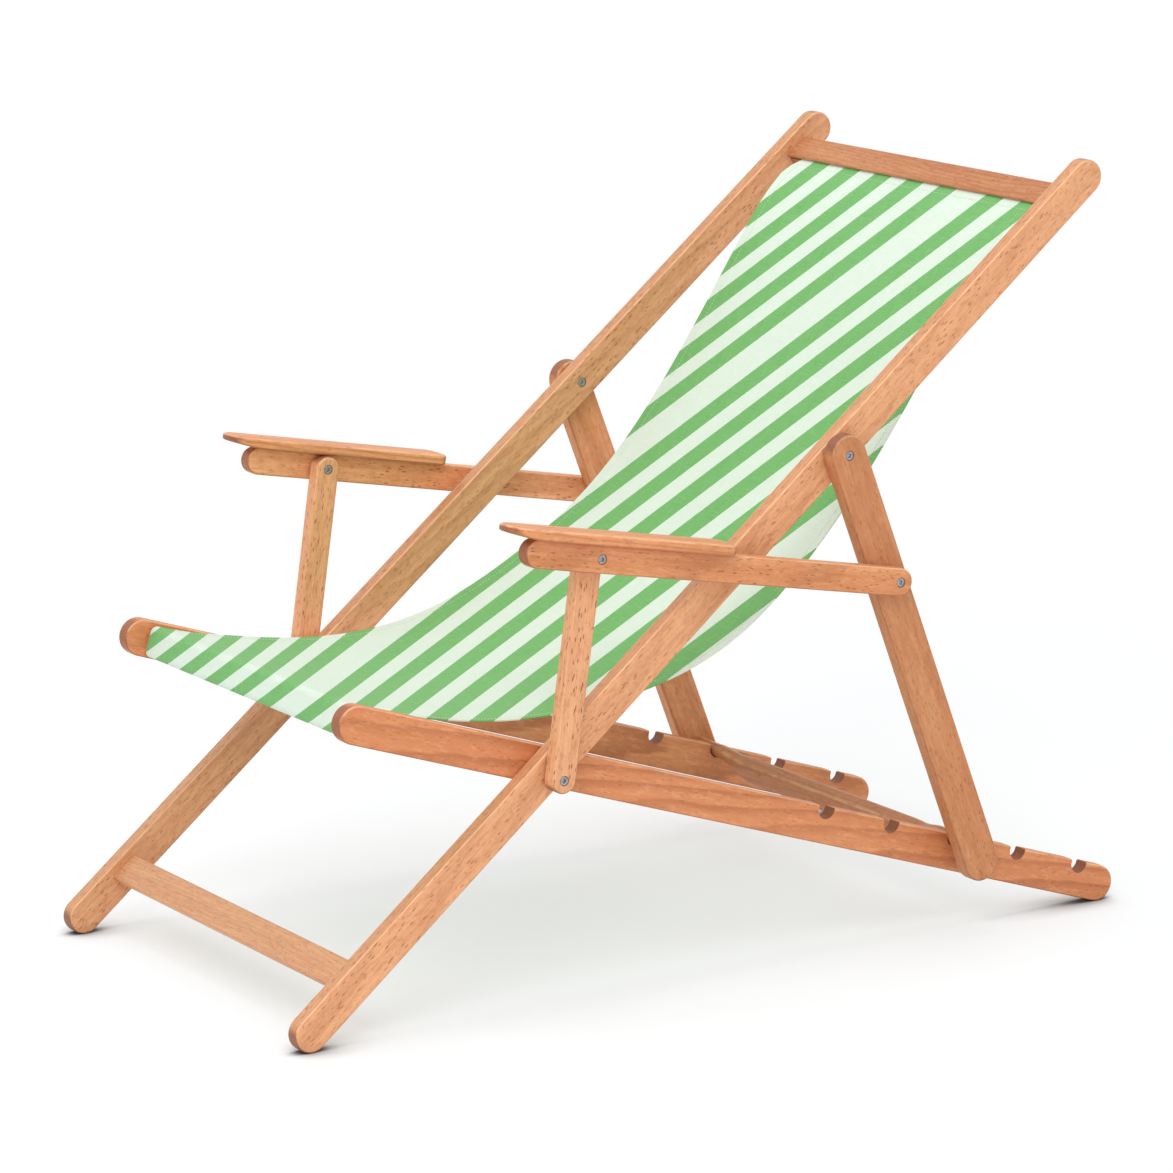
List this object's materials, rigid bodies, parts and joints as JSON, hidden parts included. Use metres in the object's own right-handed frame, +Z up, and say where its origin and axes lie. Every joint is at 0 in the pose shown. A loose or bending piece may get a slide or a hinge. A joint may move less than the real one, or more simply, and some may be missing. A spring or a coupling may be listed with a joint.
{
  "type": "folding deck chair",
  "caption": "Folding wooden deck chair with armrests: crossed back and seat frames, a notched prop frame that sets the recline, and a striped canvas sling hung between the frames.",
  "frame": {"origin": "Middle of the chair's outline in plan, on the floor under its four feet.", "axes": "+X across the chair to the sitter's left, -Y to the front, +Z up"},
  "size_m": [0.634, 1.0615, 0.8441],
  "materials": {
    "beech": "oiled beech, warm reddish tan",
    "canvas": "striped cotton canvas, green on white",
    "steel": "zinc-plated"
  },
  "bodies": {
    "back_frame": {"long_rail_left": "beech", "long_rail_right": "beech", "top_rail": "beech", "lower_stretcher": "beech", "main_bolt_left": "steel", "main_bolt_right": "steel", "main_nut_left": "steel", "main_nut_right": "steel", "prop_bolt_left": "steel", "prop_bolt_right": "steel", "prop_nut_left": "steel", "prop_nut_right": "steel", "back_washers": "steel", "sling_rod": "steel", "sling": "canvas"},
    "seat_frame": {"seat_rail_left": "beech", "seat_rail_right": "beech", "seat_front_rail": "beech", "sling_tacks": "steel"},
    "prop_frame": {"prop_leg_left": "beech", "prop_leg_right": "beech", "prop_crossbar": "beech", "arm_rear_nut_left": "steel", "arm_rear_nut_right": "steel", "prop_washers": "steel"},
    "strut_left": {"strut_left": "beech", "arm_front_bolt_left": "steel", "arm_front_nut_left": "steel", "strut_washer_left": "steel"},
    "arm_left": {"arm_rail_left": "beech", "armrest_board_left": "beech", "arm_rear_bolt_left": "steel", "board_screws_left": "steel"},
    "strut_right": {"strut_right": "beech", "arm_front_bolt_right": "steel", "arm_front_nut_right": "steel", "strut_washer_right": "steel"},
    "arm_right": {"arm_rail_right": "beech", "armrest_board_right": "beech", "arm_rear_bolt_right": "steel", "board_screws_right": "steel"}
  },
  "joints": [
    {"name": "seat_fold", "type": "hinge", "parent": "back_frame", "child": "seat_frame", "pos_m": [0, -0.22229, 0.24957], "axis": [1, 0, 0], "range_deg": [-14.7, 57.6], "deforming": ["sling"]},
    {"name": "prop_swing", "type": "hinge", "parent": "back_frame", "child": "prop_frame", "pos_m": [0, 0.13376, 0.55493], "axis": [1, 0, 0], "range_deg": [0, 109.3]},
    {"name": "strut_left_fold", "type": "hinge", "parent": "back_frame", "child": "strut_left", "pos_m": [0.275, -0.22229, 0.24957], "axis": [1, 0, 0], "range_deg": [-41.25, 0]},
    {"name": "arm_left_fold", "type": "hinge", "parent": "strut_left", "child": "arm_left", "pos_m": [0.285, -0.18871, 0.48317], "axis": [1, 0, 0], "range_deg": [0, 92.08]},
    {"name": "strut_right_fold", "type": "hinge", "parent": "back_frame", "child": "strut_right", "pos_m": [-0.275, -0.22229, 0.24957], "axis": [1, 0, 0], "range_deg": [-41.25, 0]},
    {"name": "arm_right_fold", "type": "hinge", "parent": "strut_right", "child": "arm_right", "pos_m": [-0.285, -0.18871, 0.48317], "axis": [1, 0, 0], "range_deg": [0, 92.08]}
  ],
  "couplings": [
    {"joint": "strut_left_fold", "follows": "prop_swing", "ratio": -0.37693},
    {"joint": "arm_left_fold", "follows": "prop_swing", "ratio": 0.84204},
    {"joint": "strut_right_fold", "follows": "prop_swing", "ratio": -0.37693},
    {"joint": "arm_right_fold", "follows": "prop_swing", "ratio": 0.84204}
  ]
}
